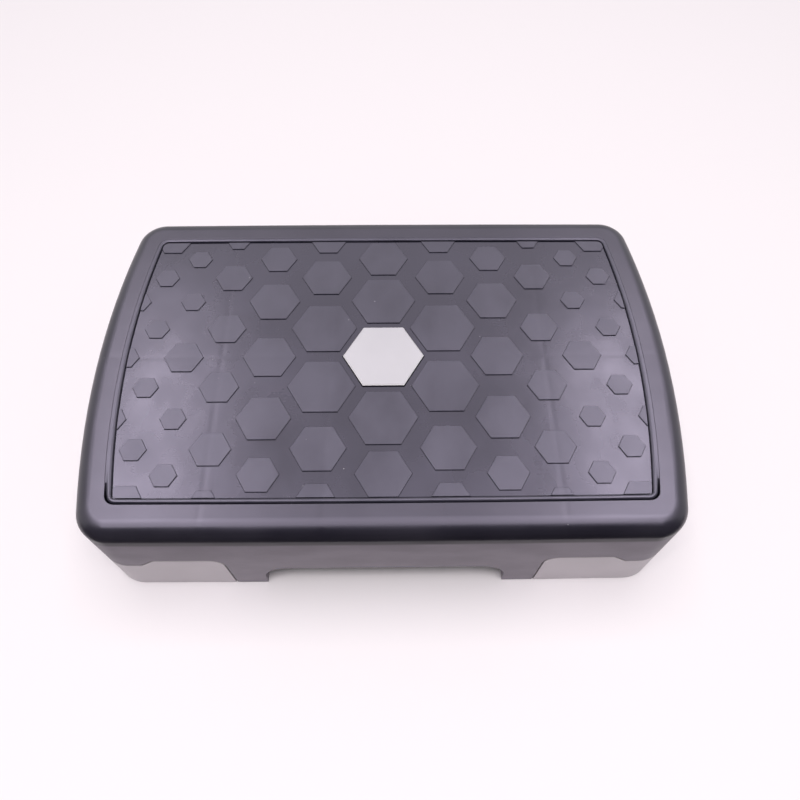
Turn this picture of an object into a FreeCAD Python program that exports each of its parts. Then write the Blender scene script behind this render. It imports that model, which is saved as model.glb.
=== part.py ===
import FreeCAD, Part
import math
import os

from FreeCAD import Vector

# Aerobic step platform with two heights, in millimetres.
# X runs along the length, Y along the depth (the front is -Y) and Z up.
# The origin is on the floor under the middle of the tread, with both legs folded away.

# Whole platform
deck_length = 430.0
deck_depth = 280.0
deck_height = 100.0
end_bow = 14.5
side_bow = 1.0
corner_radius = 23.5
edge_round = 12.5
shell_wall = 3.2
ground_gap = 1.0
overrun = 20.0

# Fits
seam = 1.2
running_clearance = 0.08
seat_clearance = 0.15
stop_gap = 0.6

# Tread mat in its recess
tread_end_margin = 22.4
tread_side_margin = 22.9
tread_corner_radius = 7.0
tread_groove = 0.7
recess_depth = 4.0
mat_base = 2.0
bead_width = 3.8
bead_height = 3.8
bead_round = 1.4

# Honeycomb of grip pads: places and sizes are shares of the badge's radius
badge_radius = 30.0
badge_gap = 0.7
badge_thickness = 3.8
badge_bevel = 0.7
peg_radius = 2.5
peg_spacing = 26.0
peg_tail = 2.0
grip_rise = 0.8
column_pitch_share = 1.5
column_shrink_share = 0.177
column_count = 6
row_shares = (0.0, 0.87, 1.745, 2.55, 3.2, 3.85)
outer_column_rows = 3
ring_edge_shares = (2.3, 3.7, 5.1)
ring_size_shares = (0.83, 0.66, 0.49, 0.32)
corner_size_share = 0.47

# Ribs under the tread
rib_wall = 2.4
rib_depth = 22.0
rib_pitch_x = 80.0
rib_pitch_y = 45.0

# Arches and the deck's own feet
arch_height = 33.5
arch_corner = 20.0
end_arch_width = 140.0
end_arch_height = 20.0
end_arch_corner = 14.0
foot_width = 24.3
foot_post_length = 13.0
foot_post_depth = 20.0
foot_post_height = 44.0
foot_post_wall = 2.4
foot_floor = 4.0

# Fold-out legs
leg_reach = 100.8
leg_edge_lean = 1.5
leg_high = 50.0
leg_low = 40.5
leg_high_length = 48.0
leg_step_run = 10.0
leg_inner_round = 10.0
leg_step_round = 4.0
leg_end_high = 36.0
leg_end_inset = 21.0
leg_end_run = 4.0
leg_end_round = 1.5
leg_wall = 3.2
leg_wrap = 27.0
leg_floor = 3.2
leg_floor_reach = 67.0
leg_bar_margin = 8.2
leg_rib_wall = 2.4
leg_rib_pitch = 36.0
sole_wall = 3.2
sole_height = 46.0
web_height = 32.0
web_slope = 24.0
cheek_web_setback = 2.0

# Hinges of the legs
hinge_inset = 18.0
hinge_height = 45.0
fold_rise = 50.0
knuckle_radius = 6.0
knuckle_width = 4.0
knuckle_side_gap = 0.6
bracket_inner = 5.0
bracket_outer = 4.0
bracket_flare = 8.0
notch_margin = 11.0
notch_round = 3.0
pin_radius = 3.0
pin_head_radius = 5.0
pin_head_height = 2.0
pin_tail = 0.8
clip_radius = 5.0
clip_thickness = 0.8

# Rubber pads
pad_seat = 1.2
base_pad_radius = 9.0
base_pad_setback = 37.0
base_pad_inset = 41.8
sole_pad_length = 44.0
sole_pad_width = 18.0
sole_pad_inset = 46.8
foot_pad_radius = 4.5

# Places worked out from the sizes above
half_length = deck_length / 2
half_depth = deck_depth / 2
end_radius = (half_depth ** 2 + end_bow ** 2) / (2 * end_bow)
side_radius = (half_length ** 2 + side_bow ** 2) / (2 * side_bow)
recess_floor = deck_height - recess_depth
tray_bottom = recess_floor - shell_wall
rib_bottom = tray_bottom - rib_depth
leg_inner_x = half_length - leg_reach
arch_half_width = leg_inner_x - leg_edge_lean - foot_width
hinge_x = half_length - hinge_inset
sole_pad_face_x = hinge_x - hinge_height - fold_rise
sole_x = sole_pad_face_x + ground_gap
wrap_y = half_depth - leg_wrap
wrap_x = half_length - end_radius + math.sqrt(end_radius ** 2 - wrap_y ** 2)
notch_top = hinge_height + wrap_x - hinge_x + stop_gap
bar_end_y = half_depth - leg_bar_margin
knuckle_end_y = wrap_y + knuckle_width
bracket_inner_y = wrap_y - seam
bracket_outer_y = knuckle_end_y + knuckle_side_gap
pin_head_y = bracket_inner_y - bracket_inner
clip_y = bracket_outer_y + bracket_outer
mat_top = recess_floor + mat_base
foot_post_x = arch_half_width + foot_post_length
foot_post_y = half_depth - foot_post_depth

X_AXIS = Vector(1, 0, 0)
Y_AXIS = Vector(0, 1, 0)
Z_AXIS = Vector(0, 0, 1)


# Helpers

def box(low, high):
    size = [high[axis] - low[axis] for axis in range(3)]
    return Part.makeBox(*size, Vector(*low))


def joined(shapes):
    return shapes[0].multiFuse(shapes[1:]).removeSplitter()


def mirror_y(shape):
    return shape.mirror(Vector(), Y_AXIS)


def front_and_rear(shape):
    return [shape, mirror_y(shape)]


def mirror_x(shape):
    return shape.mirror(Vector(), X_AXIS)


def four_corners(shape):
    return front_and_rear(shape) + front_and_rear(mirror_x(shape))


def rounded_face(points, radii):
    """A flat face on the given corners, each rounded by its own radius."""
    entries = []
    exits = []
    arcs = []
    for index, corner in enumerate(points):
        back = (points[index - 1] - corner).normalize()
        ahead = (points[(index + 1) % len(points)] - corner).normalize()
        half_angle = back.getAngle(ahead) / 2
        radius = radii[index]
        tangent = radius / math.tan(half_angle)
        entries.append(corner + back * tangent)
        exits.append(corner + ahead * tangent)
        bisector = (back + ahead).normalize()
        middle = corner + bisector * (radius / math.sin(half_angle) - radius)
        arcs.append(Part.Arc(entries[-1], middle, exits[-1]) if radius else None)
    edges = []
    for index, arc in enumerate(arcs):
        edges.append(Part.makeLine(exits[index - 1], entries[index]))
        if arc:
            edges.append(arc.toShape())
    return Part.Face(Part.Wire(edges))


def lowest(edge):
    return min(vertex.Z for vertex in edge.Vertexes)


def side_face(corners):
    """A face in the X-Z plane; each corner is x, z and its rounding radius."""
    points = [Vector(x, 0, z) for x, z, radius in corners]
    return rounded_face(points, [corner[2] for corner in corners])


def along_y(face, near, far):
    moved = face.copy()
    moved.translate(Y_AXIS * near)
    return moved.extrude(Y_AXIS * (far - near))


def along_x(face, near, far):
    moved = face.copy()
    moved.translate(X_AXIS * near)
    return moved.extrude(X_AXIS * (far - near))


def plan_block(end_margin, side_margin, corner, low, high):
    """An upright block on the platform's plan, drawn in by the two margins.

    Each end and each side is one shallow arc, about the centres of the platform's own arcs,
    and a corner arc is tangent to both.
    """
    end_centre = Vector(half_length - end_radius, 0, low)
    side_centre = Vector(0, half_depth - side_radius, low)
    end_arc = end_radius - end_margin
    side_arc = side_radius - side_margin
    line = side_centre - end_centre
    span = line.Length
    along = ((end_arc - corner) ** 2 - (side_arc - corner) ** 2 + span ** 2) / (2 * span)
    across = math.sqrt((end_arc - corner) ** 2 - along ** 2)
    line.normalize()
    centre = end_centre + line * along + Z_AXIS.cross(line) * across
    end_point = end_centre + (centre - end_centre).normalize() * end_arc
    side_point = side_centre + (centre - side_centre).normalize() * side_arc
    middle = centre + (end_point + side_point - centre * 2).normalize() * corner
    quarter = [end_point, middle, side_point]
    outline = []
    for turn_x, turn_y in ((1, 1), (-1, 1), (-1, -1), (1, -1)):
        turned = [Vector(point.x * turn_x, point.y * turn_y, low) for point in quarter]
        if turn_x * turn_y < 0:
            turned.reverse()
        outline.append(turned)
    crowns = [
        Vector(0, half_depth - side_margin, low),
        Vector(end_margin - half_length, 0, low),
        Vector(0, side_margin - half_depth, low),
        Vector(half_length - end_margin, 0, low),
    ]
    edges = []
    for index, crown in enumerate(crowns):
        following = outline[(index + 1) % len(outline)]
        edges.append(Part.Arc(*outline[index]).toShape())
        edges.append(Part.Arc(outline[index][-1], crown, following[0]).toShape())
    return Part.Face(Part.Wire(edges)).extrude(Z_AXIS * (high - low))


def round_top(block, top, radius):
    rim = [edge for edge in block.Edges if lowest(edge) > top - radius / 2]
    return block.makeFillet(radius, rim)


def hexagon(centre_x, centre_y, radius, low, high):
    """A six-sided prism with two points along X."""
    points = []
    for step in range(6):
        angle = math.radians(60 * step)
        points.append(Vector(
            centre_x + radius * math.cos(angle),
            centre_y + radius * math.sin(angle),
            low,
        ))
    face = Part.Face(Part.makePolygon(points + points[:1]))
    return face.extrude(Z_AXIS * (high - low))


# Leg outline, shared by the leg and by the notch in the skirt

def leg_outline():
    lean = leg_edge_lean / leg_high
    step_x = leg_inner_x + leg_high_length
    far_x = half_length + overrun
    bottom_x = leg_inner_x - lean * (leg_high + overrun)
    return side_face([
        (leg_inner_x, leg_high, leg_inner_round),
        (step_x, leg_high, leg_step_round),
        (step_x + leg_step_run, leg_low, leg_step_round),
        (far_x, leg_low, 0),
        (far_x, -overrun, 0),
        (bottom_x, -overrun, 0),
    ])


# Deck shell

def deck_skin():
    """Rounded shell, open below, with a sunk tray for the tread mat."""
    outer = plan_block(0, 0, corner_radius, ground_gap, deck_height)
    outer = round_top(outer, deck_height, edge_round)
    under_rim = deck_height - shell_wall
    cavity = plan_block(
        shell_wall, shell_wall, corner_radius - shell_wall, -overrun, under_rim)
    cavity = round_top(cavity, under_rim, edge_round - shell_wall)
    lip = tread_groove + shell_wall
    tray = plan_block(
        tread_end_margin - lip, tread_side_margin - lip, tread_corner_radius + lip,
        tray_bottom, deck_height - shell_wall / 2)
    recess = plan_block(
        tread_end_margin - tread_groove, tread_side_margin - tread_groove,
        tread_corner_radius + tread_groove, recess_floor, deck_height + overrun)
    return outer.cut(cavity).fuse(tray).cut(recess)


def mid_wall_block(low):
    """Block under the deck that ends halfway through the shell's wall."""
    half_wall = shell_wall / 2
    top = deck_height - half_wall
    block = plan_block(half_wall, half_wall, corner_radius - half_wall, low, top)
    return round_top(block, top, edge_round - half_wall)


def deck_openings():
    """Cutters for the arches, the leg notches, the hinge notches and the badge's peg holes."""
    far_y = half_depth + overrun
    arch = along_y(side_face([
        (arch_half_width, arch_height, arch_corner),
        (arch_half_width, -overrun, 0),
        (-arch_half_width, -overrun, 0),
        (-arch_half_width, arch_height, arch_corner),
    ]), wrap_y, far_y)
    half_arch = end_arch_width / 2
    end_arch_points = [
        Vector(0, half_arch, end_arch_height),
        Vector(0, half_arch, -overrun),
        Vector(0, -half_arch, -overrun),
        Vector(0, -half_arch, end_arch_height),
    ]
    end_arch_face = rounded_face(end_arch_points, [end_arch_corner, 0, 0, end_arch_corner])
    end_arch = along_x(end_arch_face, hinge_x, half_length + overrun)
    leg_notch = along_y(leg_outline().makeOffset2D(seam), bracket_inner_y, far_y)
    notch_side_y = half_depth - notch_margin
    hinge_notch_points = [
        Vector(0, bracket_inner_y, notch_top),
        Vector(0, bracket_inner_y, -overrun),
        Vector(0, notch_side_y, -overrun),
        Vector(0, notch_side_y, notch_top),
    ]
    hinge_notch_face = rounded_face(hinge_notch_points, [notch_round, 0, 0, notch_round])
    hinge_notch = along_x(hinge_notch_face, hinge_x, half_length + overrun)
    peg_hole = Part.makeCylinder(
        peg_radius + seat_clearance, recess_depth + shell_wall,
        Vector(0, peg_spacing / 2, tray_bottom))
    cutters = front_and_rear(arch)
    cutters += [end_arch, mirror_x(end_arch)]
    cutters += four_corners(leg_notch)
    cutters += four_corners(hinge_notch)
    cutters += front_and_rear(peg_hole)
    return cutters


def deck_ribs():
    """Grid of ribs under the tray, trimmed to end inside the skirt."""
    half_rib = rib_wall / 2
    top = tray_bottom + shell_wall / 2
    boxes = []
    for place in (-1.5, -0.5, 0.5, 1.5):
        x = place * rib_pitch_x
        boxes.append(box(
            (x - half_rib, -half_depth, rib_bottom), (x + half_rib, half_depth, top)))
    for place in (-2, -1, 0, 1, 2):
        y = place * rib_pitch_y
        boxes.append(box(
            (-half_length, y - half_rib, rib_bottom), (half_length, y + half_rib, top)))
    return joined(boxes).common(mid_wall_block(rib_bottom))


def hinge_bracket():
    """Two cheeks that straddle the leg's knuckle, with a web between them above it."""
    top = tray_bottom + shell_wall / 2
    web_bottom = notch_top + stop_gap
    profile = side_face([
        (hinge_x - knuckle_radius - bracket_flare, top, 0),
        (hinge_x - knuckle_radius, hinge_height, 0),
        (hinge_x + knuckle_radius, hinge_height, 0),
        (hinge_x + knuckle_radius, web_bottom, 0),
        (half_length, web_bottom, 0),
        (half_length, top, 0),
    ])
    cheeks = []
    for near, width in ((pin_head_y, bracket_inner), (bracket_outer_y, bracket_outer)):
        cheeks.append(along_y(profile, near, near + width))
        cheeks.append(Part.makeCylinder(
            knuckle_radius, width, Vector(hinge_x, near, hinge_height), Y_AXIS))
    web = box(
        (hinge_x - rib_wall / 2, pin_head_y, web_bottom),
        (hinge_x + rib_wall / 2, clip_y, top))
    inside = mid_wall_block(hinge_height - knuckle_radius)
    bore = Part.makeCylinder(
        pin_radius, clip_y - pin_head_y, Vector(hinge_x, pin_head_y, hinge_height), Y_AXIS)
    return joined(cheeks + [web]).common(inside).cut(bore)


def foot_post():
    """Hollow post behind the skirt's foot, with a floor that holds a rubber pad."""
    outside = box(
        (arch_half_width, foot_post_y, ground_gap),
        (foot_post_x, half_depth - shell_wall / 2, foot_post_height))
    hollow = box(
        (arch_half_width + foot_post_wall, foot_post_y + foot_post_wall, ground_gap + foot_floor),
        (foot_post_x - foot_post_wall, half_depth - shell_wall, foot_post_height + overrun))
    seat = Part.makeCylinder(
        foot_pad_radius + seat_clearance, pad_seat, foot_pad_place(ground_gap))
    return outside.cut(hollow).cut(seat)


def foot_pad_place(z):
    x = (arch_half_width + foot_post_x) / 2
    y = (foot_post_y + half_depth - shell_wall) / 2
    return Vector(x, y, z)


def deck_shell():
    skin = deck_skin().cut(deck_openings())
    carriers = four_corners(hinge_bracket()) + four_corners(foot_post())
    return joined([skin, deck_ribs()] + carriers)


# Tread mat

def mirrored_places(x, y, radius):
    """The same pad on every side of the middle that it has a twin on."""
    sides_x = (x, -x) if x else (x,)
    sides_y = (y, -y) if y else (y,)
    return [(side_x, side_y, radius) for side_x in sides_x for side_y in sides_y]


def grip_places():
    """Centre and radius of every grip pad, from the middle outwards.

    Columns close up towards the ends, and the pads shrink in rings about the badge.
    """
    places = []
    column_share = 0.0
    for column in range(column_count + 1):
        rows = range(column % 2, len(row_shares), 2)
        if column == column_count:
            rows = range(0, outer_column_rows, 2)
        for row in rows:
            row_share = row_shares[row]
            ring = sum(math.hypot(column_share, row_share) > edge for edge in ring_edge_shares)
            size_share = ring_size_shares[ring]
            if column == column_count - 1 and row == len(row_shares) - 1:
                size_share = corner_size_share
            if column or row:
                places += mirrored_places(
                    column_share * badge_radius, row_share * badge_radius,
                    size_share * badge_radius)
        column_share += column_pitch_share - column_shrink_share * column
    return places


def tread_mat():
    """Thin mat with a bead round its edge, grip pads and a hole for the badge."""
    bead_top = recess_floor + bead_height
    bead = plan_block(
        tread_end_margin, tread_side_margin, tread_corner_radius, recess_floor, bead_top)
    inner_margins = (tread_end_margin + bead_width, tread_side_margin + bead_width)
    inner_corner = tread_corner_radius - bead_width
    pocket = plan_block(*inner_margins, inner_corner, mat_top, bead_top + overrun)
    tray = round_top(bead.cut(pocket), bead_top, bead_round)
    pads = []
    for centre_x, centre_y, radius in grip_places():
        pads.append(hexagon(
            centre_x, centre_y, radius, mat_top - mat_base / 2, mat_top + grip_rise))
    limit = plan_block(
        inner_margins[0] - bead_width / 2, inner_margins[1] - bead_width / 2,
        tread_corner_radius - bead_width / 2, recess_floor, deck_height)
    trimmed = [pad.common(limit) for pad in pads]
    hole = hexagon(0, 0, badge_radius + badge_gap, recess_floor - overrun, deck_height)
    return joined([tray] + trimmed).cut(hole)


def centre_badge():
    """Bare six-sided plate with two pegs that pass through the tray."""
    plate = hexagon(0, 0, badge_radius, recess_floor, recess_floor + badge_thickness)
    top = recess_floor + badge_thickness
    rim = [edge for edge in plate.Edges if lowest(edge) > top - badge_bevel]
    plate = plate.makeChamfer(badge_bevel, rim)
    peg_length = shell_wall + peg_tail
    peg = Part.makeCylinder(
        peg_radius, peg_length, Vector(0, peg_spacing / 2, recess_floor - peg_length))
    return joined([plate] + front_and_rear(peg))


# Fold-out leg at the +X end

def leg_end_cut():
    """Lowers the wall beside the hinge, so that it clears the skirt as the leg swings."""
    end_x = half_length - leg_end_inset
    far_x = half_length + overrun
    return along_y(side_face([
        (end_x, leg_low, 0),
        (end_x + leg_end_run, leg_end_high, leg_end_round),
        (far_x, leg_end_high, 0),
        (far_x, leg_high, 0),
        (end_x, leg_high, 0),
    ]), wrap_y, half_depth + overrun)


def leg_corner():
    """Cheek flush with the skirt that wraps one corner of the deck, with its floor."""
    top = leg_high + overrun
    block = plan_block(0, 0, corner_radius, ground_gap, top)
    zone = along_y(leg_outline(), wrap_y, half_depth + overrun)
    hollow = plan_block(
        leg_wall, leg_wall, corner_radius - leg_wall, ground_gap + leg_floor, top + overrun)
    return block.common(zone).cut([hollow, leg_end_cut()])


def leg_floor_plate():
    """Floor that ties the corners together; it becomes the outer face of the opened leg."""
    return box(
        (sole_x, -bar_end_y, ground_gap),
        (sole_x + leg_floor_reach, bar_end_y, ground_gap + leg_floor))


def leg_sole():
    """Upright plate that meets the floor when the leg is opened, with boxed ends."""
    plate = box(
        (sole_x, -bar_end_y, ground_gap), (sole_x + sole_wall, bar_end_y, sole_height))
    web_x = leg_inner_x + cheek_web_setback
    end_plate = box(
        (sole_x, bar_end_y - leg_wall, ground_gap), (web_x + leg_wall, bar_end_y, sole_height))
    cheek_web = box(
        (web_x, bar_end_y - leg_wall, ground_gap),
        (web_x + leg_wall, half_depth - leg_wall, leg_high - leg_inner_round))
    return [plate] + front_and_rear(end_plate) + front_and_rear(cheek_web)


def leg_gussets():
    """Three-cornered ribs between the floor and the sole."""
    floor_top = ground_gap + leg_floor / 2
    root_x = sole_x + sole_wall / 2
    profile = side_face([
        (root_x, floor_top, 0),
        (sole_x + leg_floor_reach - leg_rib_wall, floor_top, 0),
        (root_x, sole_height - leg_rib_wall, 0),
    ])
    ribs = []
    for place in (-2, -1, 0, 1, 2):
        y = place * leg_rib_pitch
        ribs.append(along_y(profile, y - leg_rib_wall / 2, y + leg_rib_wall / 2))
    return ribs


def leg_hinge_arms():
    """Upright arms that run from the sole to the knuckles on the hinge line."""
    wall_x = wrap_x - leg_wall
    profile = side_face([
        (sole_x, ground_gap, 0),
        (wall_x, ground_gap, 0),
        (wall_x, leg_end_high, 0),
        (hinge_x + knuckle_radius, hinge_height, 0),
        (hinge_x - knuckle_radius, hinge_height, 0),
        (hinge_x - knuckle_radius - bracket_flare, web_height, 0),
        (sole_x + web_slope, web_height, 0),
        (sole_x, sole_height, 0),
    ])
    arm = along_y(profile, wrap_y, knuckle_end_y)
    knuckle = Part.makeCylinder(
        knuckle_radius, knuckle_width, Vector(hinge_x, wrap_y, hinge_height), Y_AXIS)
    return front_and_rear(arm) + front_and_rear(knuckle)


def base_pad_place(z):
    return Vector(sole_x + base_pad_setback, bar_end_y - base_pad_inset, z)


def sole_pad_solid(grow, depth):
    """Rounded bar that lies in the sole's face, its middle at half the sole's height."""
    middle_y = bar_end_y - sole_pad_inset
    middle_z = (ground_gap + sole_height) / 2
    half_run = sole_pad_length / 2 + grow
    half_rise = sole_pad_width / 2 + grow
    points = [
        Vector(0, middle_y - half_run, middle_z - half_rise),
        Vector(0, middle_y + half_run, middle_z - half_rise),
        Vector(0, middle_y + half_run, middle_z + half_rise),
        Vector(0, middle_y - half_run, middle_z + half_rise),
    ]
    corner = half_rise * 2 / 3
    face = rounded_face(points, [corner] * len(points))
    return along_x(face, sole_x + pad_seat - depth, sole_x + pad_seat)


def right_leg():
    pieces = front_and_rear(leg_corner()) + [leg_floor_plate()]
    leg = joined(pieces + leg_sole() + leg_gussets() + leg_hinge_arms())
    bore = Part.makeCylinder(
        pin_radius + running_clearance, knuckle_width,
        Vector(hinge_x, wrap_y, hinge_height), Y_AXIS)
    base_seat = Part.makeCylinder(
        base_pad_radius + seat_clearance, pad_seat, base_pad_place(ground_gap))
    sole_seat = sole_pad_solid(seat_clearance, pad_seat)
    cutters = []
    for cutter in (bore, base_seat, sole_seat):
        cutters += front_and_rear(cutter)
    return leg.cut(cutters)


# Small parts, drawn for the rear right corner

def hinge_pin():
    head = Part.makeCylinder(
        pin_head_radius, pin_head_height,
        Vector(hinge_x, pin_head_y - pin_head_height, hinge_height), Y_AXIS)
    length = clip_y + clip_thickness + pin_tail - pin_head_y
    shank = Part.makeCylinder(
        pin_radius, length, Vector(hinge_x, pin_head_y, hinge_height), Y_AXIS)
    return joined([head, shank])


def pin_clip():
    centre = Vector(hinge_x, clip_y, hinge_height)
    disc = Part.makeCylinder(clip_radius, clip_thickness, centre, Y_AXIS)
    bore = Part.makeCylinder(pin_radius, clip_thickness, centre, Y_AXIS)
    return disc.cut(bore)


def leg_base_pad():
    return Part.makeCylinder(base_pad_radius, pad_seat + ground_gap, base_pad_place(0))


def leg_sole_pad():
    return sole_pad_solid(0, pad_seat + ground_gap)


def deck_foot_pad():
    return Part.makeCylinder(foot_pad_radius, pad_seat + ground_gap, foot_pad_place(0))


# Write every node

def save(name, shape):
    shape.exportStep("parts/" + name + ".step")


os.makedirs("parts", exist_ok=True)
save("deck_shell", deck_shell())
save("tread_mat", tread_mat())
save("centre_badge", centre_badge())
leg = right_leg()
save("right_leg", leg)
save("left_leg", mirror_x(leg))
small_parts = {
    "hinge_pin": hinge_pin(),
    "pin_clip": pin_clip(),
    "leg_base_pad": leg_base_pad(),
    "leg_sole_pad": leg_sole_pad(),
    "deck_foot_pad": deck_foot_pad(),
}
for part_name, part_shape in small_parts.items():
    corner_names = ("right_rear", "right_front", "left_rear", "left_front")
    for corner_name, corner_shape in zip(corner_names, four_corners(part_shape)):
        save(corner_name + "_" + part_name, corner_shape)
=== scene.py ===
import math

import bmesh
import bpy
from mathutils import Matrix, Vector


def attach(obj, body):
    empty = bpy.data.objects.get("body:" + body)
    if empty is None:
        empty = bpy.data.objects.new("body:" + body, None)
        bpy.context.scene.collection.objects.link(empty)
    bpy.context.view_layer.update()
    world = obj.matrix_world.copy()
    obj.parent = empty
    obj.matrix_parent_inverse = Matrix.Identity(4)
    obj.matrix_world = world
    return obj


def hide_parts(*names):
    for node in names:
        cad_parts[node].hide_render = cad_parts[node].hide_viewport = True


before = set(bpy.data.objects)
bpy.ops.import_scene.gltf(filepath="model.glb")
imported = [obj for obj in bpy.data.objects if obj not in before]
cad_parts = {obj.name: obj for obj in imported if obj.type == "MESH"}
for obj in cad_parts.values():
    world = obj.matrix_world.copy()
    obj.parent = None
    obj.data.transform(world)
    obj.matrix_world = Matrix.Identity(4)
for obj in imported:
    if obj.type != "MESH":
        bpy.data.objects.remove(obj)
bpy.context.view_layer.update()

# Deck shell: one injection moulding in charcoal polypropylene with a satin, finely grained skin.
# It is open below, ribbed under the tread, and holds the mat's recess and the bays of the legs.
# Its edges have the small rounding that a mould leaves.
MM = 0.001
charcoal = (0.0125, 0.0115, 0.0190, 1.0)
charcoal_pale = (0.0225, 0.0208, 0.0300, 1.0)
charcoal_glint = (0.94, 0.88, 1.0, 1.0)
charcoal_ior = 1.55
deck_roughness = 0.33
deck_grain = 0.012 * MM
# Painted light: the skirt of the same charcoal moulding is painted a light grey, so its sides show as
# bright as if lit from the floor.
skirt_painted_light = (0.1820, 0.1630, 0.1900, 1.0)
skirt_painted_light_pale = (0.2320, 0.2090, 0.2420, 1.0)
skirt_roughness = 0.50
skirt_grain = 0.026 * MM
skirt_top = 84 * MM
skirt_fade = 4 * MM
dust_pale = (0.42, 0.41, 0.43, 1.0)
dust_cells = 150.0
dust_rarity = 0.93
dust_core = 0.03
dust_rim = 0.09
deck_dust = 0.5
rib_pair_middle = 80 * MM
rib_pair_reach = 40 * MM
sink_width = 3.6 * MM
sink_depth = 0.045 * MM
sink_floor = 92 * MM
sink_gloss = 0.03
deck_edge = 0.35 * MM
edge_segments = 2
smooth_angle = math.radians(32)
weld_distance = 0.002 * MM
flat_angle = math.radians(0.2)


class Wire:
    """A shader socket that takes part in sums; one method makes every other node."""

    def __init__(self, tree, socket=None):
        self.tree = tree
        self.socket = socket

    def node(self, kind, settings=None, sockets=None, output=0):
        made = self.tree.nodes.new(kind)
        for name, value in (settings or {}).items():
            setattr(made, name, value)
        for key, value in (sockets or {}).items():
            if isinstance(value, Wire):
                self.tree.links.new(value.socket, made.inputs[key])
            else:
                made.inputs[key].default_value = value
        return Wire(self.tree, made.outputs[output] if made.outputs else None)

    def math(self, operation, other=0.0, reflected=False):
        pair = (other, self) if reflected else (self, other)
        return self.node("ShaderNodeMath", {"operation": operation}, dict(enumerate(pair)))

    def __add__(self, other):
        return self.math("ADD", other)

    __radd__ = __add__

    def __sub__(self, other):
        return self.math("SUBTRACT", other)

    def __rsub__(self, other):
        return self.math("SUBTRACT", other, True)

    def __mul__(self, other):
        return self.math("MULTIPLY", other)

    __rmul__ = __mul__

    def __abs__(self):
        return self.math("ABSOLUTE")


def new_material(name):
    """An empty node material; returns it with a wire to start from."""
    material = bpy.data.materials.new(name)
    material.use_nodes = True
    material.node_tree.nodes.clear()
    return material, Wire(material.node_tree)


def object_place(start):
    """The place on the object, in metres."""
    return start.node("ShaderNodeTexCoord", output="Object")


def split_axes(start, place):
    """A place's three coordinates as single wires."""
    return [start.node("ShaderNodeSeparateXYZ", {}, {0: place}, axis) for axis in range(3)]


def noise(start, place, scale, detail, stretch=(1, 1, 1)):
    """Noise from 0 to 1 on the object's own metres, drawn out along an axis where asked."""
    moved = start.node("ShaderNodeMapping", {}, {"Vector": place, "Scale": stretch})
    return start.node(
        "ShaderNodeTexNoise", {}, {"Vector": moved, "Scale": scale, "Detail": detail})


def sway(value, reach):
    """Noise from 0 to 1 made to run evenly about 0, over reach in all."""
    return (value - 0.5) * reach


def ramp(start, value, low, high):
    """0 below low, 1 above high and a smooth step between them."""
    return start.node(
        "ShaderNodeMapRange", {"interpolation_type": "SMOOTHSTEP"},
        {"Value": value, "From Min": low, "From Max": high})


def blend(start, factor, first, second):
    """The first colour where the factor is 0 and the second where it is 1."""
    return start.node(
        "ShaderNodeMix", {"data_type": "RGBA"}, {0: factor, 6: first, 7: second}, output=2)


def bump(start, height, strength=1.0):
    """The surface's normal, bent by a height in metres."""
    return start.node(
        "ShaderNodeBump", {}, {"Height": height, "Strength": strength, "Distance": 1.0})


def surface(start, material, sockets):
    """Principled surface with the given sockets, sent to the material's output."""
    shader = start.node("ShaderNodeBsdfPrincipled", {}, sockets)
    start.node("ShaderNodeOutputMaterial", {}, {"Surface": shader})
    return material


def sink_marks(start, x, y, z):
    """Faint hollows over the main ribs, where the thicker plastic shrank as it cooled."""
    off_cross = abs(abs(abs(x) - rib_pair_middle) - rib_pair_reach)
    nearest = off_cross.math("MINIMUM", abs(y))
    mark = 1 - ramp(start, nearest, low=0.0, high=sink_width)
    return mark * z.math("GREATER_THAN", sink_floor)


def dust(start, place, z):
    """Sparse pale specks on the upper faces."""
    cells = {"Vector": place, "Scale": dust_cells}
    gap = start.node("ShaderNodeTexVoronoi", {}, cells)
    tint = start.node("ShaderNodeTexVoronoi", {}, cells, "Color")
    luck = start.node("ShaderNodeSeparateColor", {}, {0: tint})
    lucky = luck.math("GREATER_THAN", dust_rarity)
    speck = 1 - ramp(start, gap, low=dust_core, high=dust_rim)
    return speck * lucky * z.math("GREATER_THAN", sink_floor)


def deck_skin(name):
    """Satin charcoal on top with flow marks and dust; below, a coarser, clouded skirt painted light
    grey as painted light.
    """
    material, start = new_material(name)
    place = object_place(start)
    x, y, z = split_axes(start, place)
    cloud = noise(start, place, scale=16.0, detail=3.0)
    mottle = noise(start, place, scale=34.0, detail=4.0, stretch=(0.8, 0.8, 1.6))
    streak = noise(start, place, scale=9.0, detail=4.0, stretch=(1.0, 14.0, 6.0))
    grain = noise(start, place, scale=1500.0, detail=2.0)
    specks = dust(start, place, z)
    mark = sink_marks(start, x, y, z)
    skirt = 1 - ramp(start, z, low=skirt_top - skirt_fade, high=skirt_top)
    clouded = ramp(start, cloud, low=0.3, high=0.75)
    mottled = ramp(start, mottle, low=0.3, high=0.72)
    top_tone = blend(start, clouded, charcoal, charcoal_pale)
    # Painted light: the skirt's light grey, clouded by the mottle, stands in for the light its sides
    # catch.
    skirt_tone_with_painted_light = blend(start, mottled, skirt_painted_light, skirt_painted_light_pale)
    tone = blend(start, skirt, top_tone, skirt_tone_with_painted_light)
    colour = blend(start, specks * deck_dust, tone, dust_pale)
    rough = (
        deck_roughness + skirt * (skirt_roughness - deck_roughness)
        + sway(cloud, reach=0.14) + sway(mottle, reach=0.10) + sway(streak, reach=0.08)
        - mark * sink_gloss)
    height = grain * (deck_grain + skirt * (skirt_grain - deck_grain)) - mark * sink_depth
    return surface(
        start, material,
        {"Base Color": colour, "Roughness": rough, "Normal": bump(start, height),
         "IOR": charcoal_ior, "Specular Tint": charcoal_glint})


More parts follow.
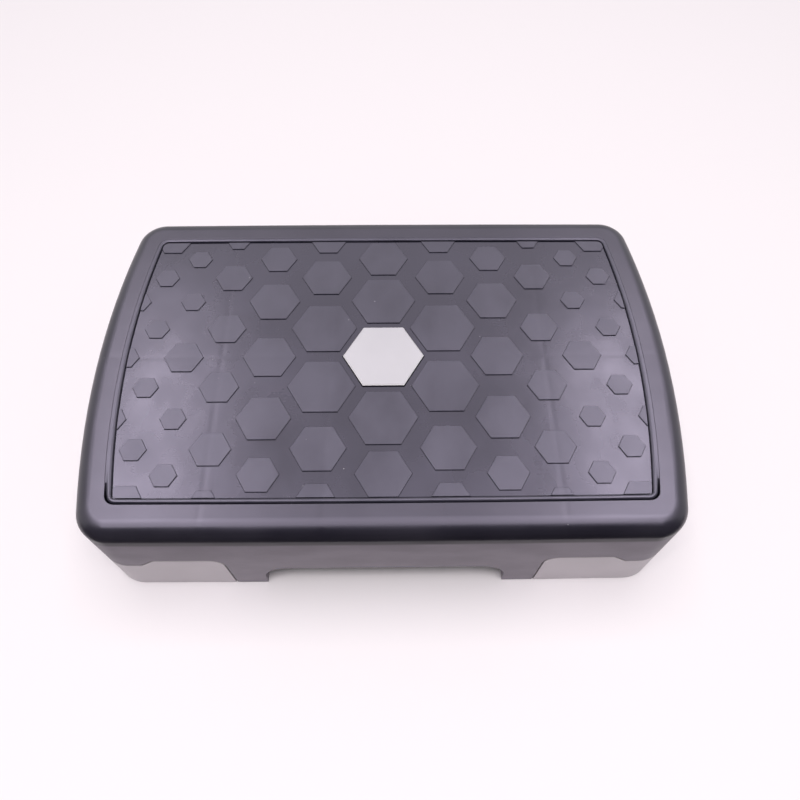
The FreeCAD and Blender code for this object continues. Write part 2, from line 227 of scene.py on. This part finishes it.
def merged_copy(node_name, piece_name):
    """A new object with the node's mesh, its loose triangles joined and flat faces made whole."""
    shape = bmesh.new()
    shape.from_mesh(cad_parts[node_name].data)
    bmesh.ops.remove_doubles(shape, verts=shape.verts, dist=weld_distance)
    bmesh.ops.dissolve_limit(
        shape, angle_limit=flat_angle, verts=shape.verts, edges=shape.edges)
    mesh = bpy.data.meshes.new(piece_name)
    shape.to_mesh(mesh)
    shape.free()
    piece = bpy.data.objects.new(piece_name, mesh)
    bpy.context.scene.collection.objects.link(piece)
    return piece


def settle(piece):
    """Turns the evaluated object into a plain mesh and takes its modifiers off."""
    graph = bpy.context.evaluated_depsgraph_get()
    mesh = bpy.data.meshes.new_from_object(piece.evaluated_get(graph))
    piece.modifiers.clear()
    piece.data = mesh
    mesh.name = piece.name
    return piece


def soften(piece, width):
    """Rounds the sharp edges a little and evens the shading round them."""
    bevel = piece.modifiers.new("edge rounding", "BEVEL")
    bevel.width = width
    bevel.segments = edge_segments
    bevel.limit_method = "ANGLE"
    bevel.angle_limit = smooth_angle
    bevel.use_clamp_overlap = False
    piece.data.shade_smooth()
    even = piece.modifiers.new("even shading", "WEIGHTED_NORMAL")
    even.keep_sharp = False
    return settle(piece)


def dress(piece, material, body, slot, *nodes):
    """Gives a new piece its material, ties it to its body and hides the nodes it stands for."""
    piece.data.materials.clear()
    piece.data.materials.append(material)
    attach(piece, body)
    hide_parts(*nodes)


deck_plastic = deck_skin("charcoal deck plastic")
deck = soften(merged_copy("deck_shell", "deck_moulding"), deck_edge)
dress(deck, deck_plastic, "deck", "deck_plastic", "deck_shell")

# Tread mat: a thinner moulding in the same charcoal that lies in the recess of the deck.
# A half-round bead runs round its edge, and raised six-sided grip pads shrink away from the middle.
# The pads have a coarser skin than the glossier field between them.
half_length = 215 * MM
half_depth = 140 * MM
end_bow = 14.5 * MM
side_bow = 1.0 * MM
mat_end_margin = 22.4 * MM
mat_side_margin = 22.9 * MM
mat_corner = 7.0 * MM
end_steps = 12
corner_steps = 8
side_steps = 12
mat_foot = 96.0 * MM
mat_field = 98.0 * MM
bead_rise = 1.8 * MM
bead_front = {"middle": 2.2 * MM, "half": 1.8 * MM, "flange": 96.6 * MM}
bead_rear = {"middle": 0.6 * MM, "half": 1.2 * MM, "flange": 99.85 * MM}
bead_steps = 14
flange_width = 0.65 * MM
groove_end = -111 * MM
groove_fade = 10 * MM
crease_width = 0.6 * MM
crease_depth = 0.5 * MM
crease_slope = 0.09 * MM
pad_sides = 6
pad_rise = 0.8 * MM
pad_sink = 0.6 * MM
pad_bevel = 0.4 * MM
pad_weld = 0.01 * MM
pad_limit = mat_field + 2 * pad_rise
badge_radius = 30 * MM
badge_gap = 0.7 * MM
badge_hole_depth = 20 * MM
column_pitch = 1.5
column_shrink = 0.177
column_count = 6
row_places = (0.0, 0.87, 1.745, 2.55, 3.2, 3.85)
outer_column_rows = 3
ring_edges = (2.3, 3.7, 5.1)
ring_sizes = (0.83, 0.66, 0.49, 0.32)
corner_size = 0.47
level_normal = 0.999
field_deep = (0.0085, 0.0082, 0.0160, 1.0)
field_pale = (0.0165, 0.0158, 0.0265, 1.0)
field_roughness = 0.27
field_grain = 0.006 * MM
pad_pale = (0.0340, 0.0330, 0.0460, 1.0)
pad_wear = 1.6
pad_roughness = 0.36
pad_grain = 0.020 * MM
mat_dust = 0.6
warp_height = 0.6 * MM
dimple_height = 0.24 * MM


def arc_points(centre, radius, start, end, steps):
    """Points on an arc from one angle to the next, without the last."""
    points = []
    for step in range(steps):
        angle = start + (end - start) * step / steps
        points.append(centre + Vector((math.cos(angle), math.sin(angle))) * radius)
    return points


def plan_ring(inset):
    """The mat's outline drawn in by inset: bowed ends and sides with a round at each corner."""
    end_radius = (half_depth ** 2 + end_bow ** 2) / (2 * end_bow)
    side_radius = (half_length ** 2 + side_bow ** 2) / (2 * side_bow)
    end_centre = Vector((half_length - end_radius, 0.0))
    side_centre = Vector((0.0, half_depth - side_radius))
    corner = mat_corner - inset
    end_arc = end_radius - mat_end_margin - inset
    side_arc = side_radius - mat_side_margin - inset
    line = side_centre - end_centre
    span = line.length
    line.normalize()
    along = ((end_arc - corner) ** 2 - (side_arc - corner) ** 2 + span ** 2) / (2 * span)
    across = math.sqrt((end_arc - corner) ** 2 - along ** 2)
    centre = end_centre + line * along + Vector((-line.y, line.x)) * across
    to_end = centre - end_centre
    to_side = centre - side_centre
    end_angle = math.atan2(to_end.y, to_end.x)
    side_angle = math.atan2(to_side.y, to_side.x)
    quarter = arc_points(end_centre, end_arc, 0.0, end_angle, end_steps)
    quarter += arc_points(centre, corner, end_angle, side_angle, corner_steps)
    quarter += arc_points(side_centre, side_arc, side_angle, math.pi / 2, side_steps)
    crown = Vector((0.0, half_depth - mat_side_margin - inset))
    half = quarter + [crown] + [Vector((-p.x, p.y)) for p in reversed(quarter)]
    return half + [Vector((p.x, -p.y)) for p in reversed(half[1:-1])]


def swept_solid(name, front, rear):
    """A closed solid from rings of inset and height, given for the front and for the rear.

    The inset changes evenly from front to rear, the height only where the front groove ends.
    """
    shape = bmesh.new()
    rings = []
    for (front_inset, front_height), (rear_inset, rear_height) in zip(front, rear):
        ring = []
        for near, far in zip(plan_ring(front_inset), plan_ring(rear_inset)):
            share = 0.5 + near.y / (2 * half_depth)
            point = near.lerp(far, share)
            risen = min(1.0, max(0.0, (near.y - groove_end) / groove_fade))
            height = front_height + (rear_height - front_height) * risen
            ring.append(shape.verts.new((point.x, point.y, height)))
        rings.append(ring)
    for outer, inner in zip(rings, rings[1:]):
        for index, vertex in enumerate(outer):
            after = (index + 1) % len(outer)
            shape.faces.new((vertex, outer[after], inner[after], inner[index]))
    shape.faces.new(list(reversed(rings[0])))
    shape.faces.new(rings[-1])
    mesh = bpy.data.meshes.new(name)
    shape.to_mesh(mesh)
    shape.free()
    made = bpy.data.objects.new(name, mesh)
    bpy.context.scene.collection.objects.link(made)
    return made


def bead_profile(bead):
    """Inset and height of each ring: foot, flange, round bead, crease at its inner foot, field."""
    rings = [(-flange_width, mat_foot), (-flange_width, bead["flange"])]
    for step in range(1, bead_steps + 1):
        angle = math.pi * step / bead_steps
        inset = bead["middle"] - bead["half"] * math.cos(angle)
        height = mat_field + bead_rise * math.sin(angle)
        if step < bead_steps / 2:
            height = max(height, bead["flange"])
        rings.append((inset, height))
    foot = bead["middle"] + bead["half"]
    rings.append((foot + crease_slope, mat_field - crease_depth))
    rings.append((foot + crease_width - crease_slope, mat_field - crease_depth))
    rings.append((foot + crease_width, mat_field))
    return rings


def limit_profile(bead):
    """Two rings at the inner end of the crease, which bound the pads."""
    inset = bead["middle"] + bead["half"] + crease_width
    return [(inset, mat_foot), (inset, pad_limit)]


def pad_places():
    """Centre and radius of each grip pad, in shares of the badge's radius."""
    places = []
    column_place = 0.0
    for column in range(column_count + 1):
        rows = range(column % 2, len(row_places), 2)
        if column == column_count:
            rows = range(0, outer_column_rows, 2)
        for row in rows:
            ring = sum(math.hypot(column_place, row_places[row]) > edge for edge in ring_edges)
            size = ring_sizes[ring]
            if column == column_count - 1 and row == len(row_places) - 1:
                size = corner_size
            for side_x in ((1, -1) if column else (1,)):
                for side_y in ((1, -1) if row else (1,)):
                    places.append((side_x * column_place, side_y * row_places[row], size))
        column_place += column_pitch - column_shrink * column
    return [place for place in places if place[0] or place[1]]


class Tree:
    """A geometry tree with named inputs; add makes a node and links or sets its sockets."""

    def __init__(self, name, inputs):
        self.tree = bpy.data.node_groups.new(name, "GeometryNodeTree")
        self.identifiers = {}
        for label, kind in inputs.items():
            socket = self.tree.interface.new_socket(label, in_out="INPUT", socket_type=kind)
            self.identifiers[label] = socket.identifier
        self.tree.interface.new_socket(
            "Geometry", in_out="OUTPUT", socket_type="NodeSocketGeometry")
        self.source = self.tree.nodes.new("NodeGroupInput").outputs

    def add(self, kind, settings=None, sockets=None):
        made = self.tree.nodes.new(kind)
        for name, value in (settings or {}).items():
            setattr(made, name, value)
        for key, value in (sockets or {}).items():
            for one in value if isinstance(value, list) else [value]:
                if isinstance(one, bpy.types.NodeSocket):
                    self.tree.links.new(one, made.inputs[key])
                else:
                    made.inputs[key].default_value = one
        return made.outputs

    def combine(self, operation, sockets):
        """Cuts, joins or trims closed meshes."""
        settings = {"operation": operation, "solver": "MANIFOLD"}
        return self.add("GeometryNodeMeshBoolean", settings, sockets)[0]

    def apply(self, piece, values):
        """Runs the tree on the piece with these inputs and keeps the plain mesh."""
        modifier = piece.modifiers.new(self.tree.name, "NODES")
        modifier.node_group = self.tree
        for label, value in values.items():
            modifier[self.identifiers[label]] = value
        return settle(piece)


def honeycomb_tree():
    """Raises a bevelled pad on each point, trims the pads, joins them to the mat and cuts the hole."""
    tree = Tree("honeycomb", {
        "Points": "NodeSocketGeometry",
        "Mat": "NodeSocketObject",
        "Limit": "NodeSocketObject",
        "Pad wall": "NodeSocketFloat",
        "Pad bevel": "NodeSocketFloat",
        "Badge hole": "NodeSocketFloat",
        "Hole depth": "NodeSocketFloat",
        "Skin": "NodeSocketMaterial",
    })
    source = tree.source
    radius = tree.add(
        "GeometryNodeInputNamedAttribute", {"data_type": "FLOAT"}, {"Name": "pad_radius"})[0]
    six = tree.add("GeometryNodeMeshCircle", {"fill_type": "NGON"}, {"Vertices": pad_sides})[0]
    spread = tree.add(
        "GeometryNodeInstanceOnPoints", {},
        {"Points": source["Points"], "Instance": six, "Scale": radius})[0]
    flat = tree.add("GeometryNodeRealizeInstances", {}, {0: spread})[0]
    under = tree.add("GeometryNodeFlipFaces", {}, {0: flat})[0]
    wall = tree.add(
        "GeometryNodeExtrudeMesh", {"mode": "FACES"},
        {"Mesh": flat, "Offset Scale": source["Pad wall"], "Individual": True})
    crown = tree.add(
        "GeometryNodeExtrudeMesh", {"mode": "FACES"},
        {"Mesh": wall[0], "Selection": wall[1], "Offset Scale": source["Pad bevel"],
         "Individual": True})
    share = tree.add(
        "ShaderNodeMath", {"operation": "DIVIDE"}, {0: source["Pad bevel"], 1: radius})[0]
    shrink = tree.add("ShaderNodeMath", {"operation": "SUBTRACT"}, {0: 1.0, 1: share})[0]
    drawn_in = tree.add(
        "GeometryNodeScaleElements", {"domain": "FACE"},
        {"Geometry": crown[0], "Selection": crown[1], "Scale": shrink})[0]
    closed = tree.add("GeometryNodeJoinGeometry", {}, {0: [drawn_in, under]})[0]
    welded = tree.add(
        "GeometryNodeMergeByDistance", {}, {"Geometry": closed, "Distance": pad_weld})[0]
    limit = tree.add("GeometryNodeObjectInfo", {}, {"Object": source["Limit"]})["Geometry"]
    trimmed = tree.combine("INTERSECT", {"Mesh 2": [welded, limit]})
    mat = tree.add("GeometryNodeObjectInfo", {}, {"Object": source["Mat"]})["Geometry"]
    whole = tree.combine("UNION", {"Mesh 2": [trimmed, mat]})
    hole = tree.add(
        "GeometryNodeMeshCylinder", {},
        {"Vertices": pad_sides, "Radius": source["Badge hole"], "Depth": source["Hole depth"]})[0]
    lifted = tree.add(
        "GeometryNodeTransform", {}, {"Geometry": hole, "Translation": (0.0, 0.0, mat_field)})[0]
    opened = tree.combine("DIFFERENCE", {"Mesh 1": whole, "Mesh 2": lifted})
    realized = tree.add("GeometryNodeRealizeInstances", {}, {0: opened})[0]
    finished = tree.add(
        "GeometryNodeSetMaterial", {}, {"Geometry": realized, "Material": source["Skin"]})[0]
    tree.add("NodeGroupOutput", {}, {0: finished})
    return tree


def tread_skin(name):
    """Charcoal mat: a glossier field and coarser, slightly paler pads, with sink marks and dust."""
    material, start = new_material(name)
    place = object_place(start)
    x, y, z = split_axes(start, place)
    cloud = noise(start, place, scale=13.0, detail=4.0)
    streak = noise(start, place, scale=11.0, detail=3.0, stretch=(1.0, 44.0, 10.0))
    rubbed = noise(start, place, scale=24.0, detail=4.0, stretch=(1.6, 1.0, 1.0))
    grain = noise(start, place, scale=1300.0, detail=2.0)
    warp = noise(start, place, scale=11.0, detail=2.0)
    dimple = noise(start, place, scale=30.0, detail=2.0)
    raised = ramp(start, z, low=mat_field + 0.5 * pad_rise, high=mat_field + 0.8 * pad_rise)
    specks = dust(start, place, z)
    mark = sink_marks(start, x, y, z)
    field = blend(start, ramp(start, cloud, low=0.3, high=0.75), field_deep, field_pale)
    tone = blend(start, raised * (rubbed * pad_wear), field, pad_pale)
    colour = blend(start, specks * mat_dust, tone, dust_pale)
    rough = (
        field_roughness + raised * (pad_roughness - field_roughness)
        + sway(cloud, reach=0.18) + sway(streak, reach=0.03) + sway(rubbed, reach=0.24))
    height = (
        grain * (field_grain + raised * (pad_grain - field_grain)) - mark * sink_depth
        + warp * warp_height + dimple * dimple_height)
    return surface(
        start, material,
        {"Base Color": colour, "Roughness": rough, "Normal": bump(start, height),
         "IOR": charcoal_ior, "Specular Tint": charcoal_glint})


mat_blank = swept_solid("mat_blank", bead_profile(bead_front), bead_profile(bead_rear))
mat_limit = swept_solid("mat_limit", limit_profile(bead_front), limit_profile(bead_rear))
pads = pad_places()
pad_points = bpy.data.meshes.new("tread_panel")
pad_points.from_pydata(
    [(px * badge_radius, py * badge_radius, mat_field - pad_sink) for px, py, size in pads],
    [], [])
pad_radius = pad_points.attributes.new("pad_radius", "FLOAT", "POINT")
pad_radius.data.foreach_set("value", [size * badge_radius for px, py, size in pads])
tread = bpy.data.objects.new("tread_panel", pad_points)
bpy.context.scene.collection.objects.link(tread)
mat_plastic = tread_skin("charcoal tread plastic")
honeycomb_tree().apply(tread, {
    "Mat": mat_blank,
    "Limit": mat_limit,
    "Pad wall": pad_sink + pad_rise - pad_bevel,
    "Pad bevel": pad_bevel,
    "Badge hole": badge_radius + badge_gap,
    "Hole depth": badge_hole_depth,
    "Skin": mat_plastic,
})
for helper in (mat_blank, mat_limit):
    bpy.data.objects.remove(helper)
for face in tread.data.polygons:
    face.use_smooth = face.normal.z < level_normal
tread.data.set_sharp_from_angle(angle=smooth_angle)
dress(tread, mat_plastic, "deck", "mat_plastic", "tread_mat")

# Centre badge: a bare six-sided plate in pale grey plastic with a bevelled edge.
# Two pegs on its back pass through the tray and hold it in the middle of the mat.
badge_grey = (0.510, 0.500, 0.528, 1.0)
badge_grey_worn = (0.558, 0.547, 0.575, 1.0)
# Painted highlight and shade: the lower part of the bevel is painted a bright grey as painted
# highlight, and the flank below it is painted charcoal as painted shade.
bevel_painted_highlight = (0.80, 0.79, 0.81, 1.0)
badge_roughness = 0.34
badge_grain = 0.006 * MM
badge_top = 99.8 * MM
badge_bevel = 0.7 * MM
painted_highlight_share = 0.4
painted_shade_share = 1.2
grey_ior = 1.48
cloud_share = 0.6


def paint_node(node_name, material):
    """Puts a material on a node that keeps its own shape."""
    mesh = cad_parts[node_name].data
    mesh.materials.clear()
    mesh.materials.append(material)


def grey_skin(name, deep, pale, roughness, grain_height, plate=False):
    """Grey plastic: fine grain, clouding, rubbed streaks; a plate gets a painted highlight on its
    bevel and painted shade on its flank.
    """
    material, start = new_material(name)
    place = object_place(start)
    cloud = noise(start, place, scale=22.0, detail=3.0)
    streak = noise(start, place, scale=14.0, detail=4.0, stretch=(1.0, 1.0, 9.0))
    grain = noise(start, place, scale=1600.0, detail=2.0)
    clouded = ramp(start, cloud, low=0.3, high=0.7)
    worn = clouded * cloud_share + streak * (1 - cloud_share)
    colour = blend(start, worn, deep, pale)
    # Painted light on a plate: a painted highlight low on the bevel and painted shade in charcoal on
    # the flank below.
    if plate:
        z = split_axes(start, place)[2]
        painted_highlight_edge = badge_top - painted_highlight_share * badge_bevel
        painted_shade_edge = badge_top - painted_shade_share * badge_bevel
        face = ramp(start, z, low=painted_highlight_edge, high=badge_top)
        above_painted_shade = ramp(start, z, low=painted_shade_edge, high=badge_top - badge_bevel)
        colour = blend(start, above_painted_shade, charcoal, blend(start, face, bevel_painted_highlight, colour))
    rough = roughness + sway(cloud, reach=0.10) + sway(streak, reach=0.12)
    normal = bump(start, grain * grain_height)
    return surface(
        start, material,
        {"Base Color": colour, "Roughness": rough, "Normal": normal, "IOR": grey_ior})


badge_plastic = grey_skin(
    "pale badge plastic", badge_grey, badge_grey_worn, badge_roughness, badge_grain, plate=True)
paint_node("centre_badge", badge_plastic)

# Fold-out legs: two mid-grey mouldings that close the corners of the deck and swing out on pins.
# Each is a ribbed channel with a cheek at the front and rear that lies flush with the skirt.
leg_grey = (0.445, 0.411, 0.438, 1.0)
leg_grey_worn = (0.518, 0.480, 0.510, 1.0)
leg_roughness = 0.42
leg_grain = 0.012 * MM
leg_edge = 0.4 * MM

leg_plastic = grey_skin(
    "mid grey leg plastic", leg_grey, leg_grey_worn, leg_roughness, leg_grain)
for side in ("left", "right"):
    leg = soften(merged_copy(side + "_leg", side + "_leg_moulding"), leg_edge)
    dress(leg, leg_plastic, side + "_leg", "leg_plastic", side + "_leg")

# Hinge pins and clips: zinc-plated steel pins pressed through the brackets of the deck.
# A thin round clip on the end of each pin keeps it in place.
corner_names = ("left_front", "left_rear", "right_front", "right_rear")
pin_bright = (0.62, 0.62, 0.63, 1.0)
pin_roughness = 0.30
clip_bright = (0.48, 0.47, 0.46, 1.0)
clip_roughness = 0.36
tarnish_dim = 0.72
tarnish_roughness = 0.15
turning_depth = 0.01 * MM
turning_strength = 0.6


def plated_steel(name, bright, roughness):
    """Bright plated steel with fine turning marks and a cloudy tarnish."""
    material, start = new_material(name)
    place = object_place(start)
    turning = noise(start, place, scale=900.0, detail=3.0, stretch=(1.0, 6.0, 1.0))
    tarnish = noise(start, place, scale=240.0, detail=4.0)
    dulled = tuple(tarnish_dim * part for part in bright[:3]) + (1.0,)
    tone = blend(start, ramp(start, tarnish, low=0.45, high=0.8), bright, dulled)
    dull_spots = ramp(start, tarnish, low=0.5, high=0.8)
    rough = roughness + sway(turning, reach=0.14) + dull_spots * tarnish_roughness
    normal = bump(start, turning * turning_depth, turning_strength)
    return surface(
        start, material,
        {"Base Color": tone, "Roughness": rough, "Metallic": 1.0, "Normal": normal})


pin_steel = plated_steel("plated pin steel", pin_bright, pin_roughness)
clip_steel = plated_steel("spring clip steel", clip_bright, clip_roughness)
for corner in corner_names:
    paint_node(corner + "_hinge_pin", pin_steel)
    paint_node(corner + "_pin_clip", clip_steel)

# Rubber pads: black discs and bars set into seats under the deck's feet and on the legs.
# They stand a little proud of their seats, so the platform grips the floor at both heights.
rubber_black = (0.021, 0.020, 0.021, 1.0)
rubber_dusty = (0.060, 0.057, 0.056, 1.0)
rubber_roughness = 0.78
pebble_height = 0.05 * MM
pebble_strength = 0.8


def grip_rubber(name):
    """Matt black rubber with a pebbled skin and patches of dust."""
    material, start = new_material(name)
    place = object_place(start)
    pebble = noise(start, place, scale=700.0, detail=3.0)
    dusty = noise(start, place, scale=60.0, detail=4.0)
    tone = blend(start, ramp(start, dusty, low=0.45, high=0.8), rubber_black, rubber_dusty)
    rough = rubber_roughness + sway(dusty, reach=0.2)
    normal = bump(start, pebble * pebble_height, pebble_strength)
    return surface(
        start, material, {"Base Color": tone, "Roughness": rough, "Normal": normal})


pad_rubber = grip_rubber("black pad rubber")
for corner in corner_names:
    for pad_name in ("_leg_base_pad", "_leg_sole_pad", "_deck_foot_pad"):
        paint_node(corner + pad_name, pad_rubber)

# Studio: a pale floor under even light, with panels that only show as sheen on the plastic.
# Two dark cards in front, one standing and one lying, only show as a dark band under the rim.
# The camera stands where the photograph was taken from.
floor_pale = (0.93, 0.900, 0.915, 1.0)
floor_roughness = 0.7
floor_half = 1.4
floor_level = -0.1 * MM
card_dark = (0.012, 0.012, 0.014, 1.0)
card_roughness = 0.9
card_half = 1.5
card_near = -0.6
card_far = -0.174
card_height = 0.9
card_level = 0.5 * MM
ambient = (0.34, 0.33, 0.34, 1.0)
background_white = (1.0, 1.0, 1.0, 1.0)
camera_place = (6.60 * MM, -297.27 * MM, 530.97 * MM)
camera_turn = (30.9372, -0.3062, -0.6631)
camera_lens = 31.657
sensor_width = 36.0
even_tint = (1.0, 0.95, 0.97)
sheen_tint = (0.93, 0.88, 1.0)
# Each lamp faces straight down and has a place, a size, a power, a tint and what it is hidden from.
lamps = {
    "front fill": ((0.0, -0.65, 2.30), (1.80, 0.50), 18.0, even_tint, "visible_glossy"),
    "top fill": ((0.0, 0.20, 3.00), (2.40, 2.40), 56.0, even_tint, "visible_glossy"),
    "left sheen panel": ((-0.51, 0.27, 0.99), (0.20, 0.88), 5.2, sheen_tint, "visible_diffuse"),
    "right sheen panel": ((0.51, 0.27, 0.99), (0.20, 0.88), 5.2, sheen_tint, "visible_diffuse"),
    "overhead sheen panel": ((0.0, 0.73, 1.00), (2.40, 1.22), 11.0, sheen_tint, "visible_diffuse"),
    "front sheen panel": ((0.0, -0.22, 1.00), (0.60, 0.68), 4.1, sheen_tint, "visible_diffuse"),
    "left front sheen panel": (
        (-0.50, -0.22, 1.00), (0.40, 0.68), 5.0, sheen_tint, "visible_diffuse"),
    "right front sheen panel": (
        (0.50, -0.22, 1.00), (0.40, 0.68), 5.0, sheen_tint, "visible_diffuse"),
}


def level_corners(half_width, near, far, level):
    """Corners of a level rectangle, in order round it."""
    return [
        (-half_width, near, level), (half_width, near, level),
        (half_width, far, level), (-half_width, far, level)]


def stage_plane(name, corners, colour, roughness):
    """A flat sheet of the studio, which isn't part of the object."""
    mesh = bpy.data.meshes.new(name)
    mesh.from_pydata(corners, [], [range(len(corners))])
    made = bpy.data.objects.new(name, mesh)
    bpy.context.scene.collection.objects.link(made)
    material, start = new_material(name)
    surface(
        start, material,
        {"Base Color": colour, "Roughness": roughness, "Specular IOR Level": 0.0})
    mesh.materials.append(material)
    return made


stage_plane(
    "studio_floor", level_corners(floor_half, -floor_half, floor_half, floor_level),
    floor_pale, floor_roughness)
standing_card = stage_plane("standing_card", [
    (-card_half, card_near, 0.0), (card_half, card_near, 0.0),
    (card_half, card_near, card_height), (-card_half, card_near, card_height)],
    card_dark, card_roughness)
lying_card = stage_plane(
    "lying_card", level_corners(card_half, card_near, card_far, card_level),
    card_dark, card_roughness)
for card in (standing_card, lying_card):
    card.visible_camera = False
    card.visible_diffuse = False
    card.visible_transmission = False
    card.visible_shadow = False

for name, (place, size, power, tint, hidden_from) in lamps.items():
    lamp = bpy.data.lights.new(name, "AREA")
    lamp.shape = "RECTANGLE"
    lamp.size, lamp.size_y = size
    lamp.energy = power
    lamp.color = tint
    box = bpy.data.objects.new(name, lamp)
    setattr(box, hidden_from, False)
    box.location = place
    bpy.context.scene.collection.objects.link(box)

world = bpy.data.worlds.new("studio")
world.use_nodes = True
world.node_tree.nodes.clear()
start = Wire(world.node_tree)
seen = start.node("ShaderNodeLightPath", output="Is Camera Ray")
for ray in ("Is Glossy Ray", "Is Transmission Ray"):
    seen = seen.math("MAXIMUM", start.node("ShaderNodeLightPath", output=ray))
sky = start.node(
    "ShaderNodeBackground", {}, {"Color": blend(start, seen, ambient, background_white)})
start.node("ShaderNodeOutputWorld", {}, {"Surface": sky})
bpy.context.scene.world = world

camera_data = bpy.data.cameras.new("photo camera")
camera_data.lens = camera_lens
camera_data.sensor_width = sensor_width
camera = bpy.data.objects.new("photo camera", camera_data)
camera.location = camera_place
camera.rotation_euler = [math.radians(turn) for turn in camera_turn]
bpy.context.scene.collection.objects.link(camera)
bpy.context.scene.camera = camera
bpy.context.scene.view_settings.view_transform = "Standard"
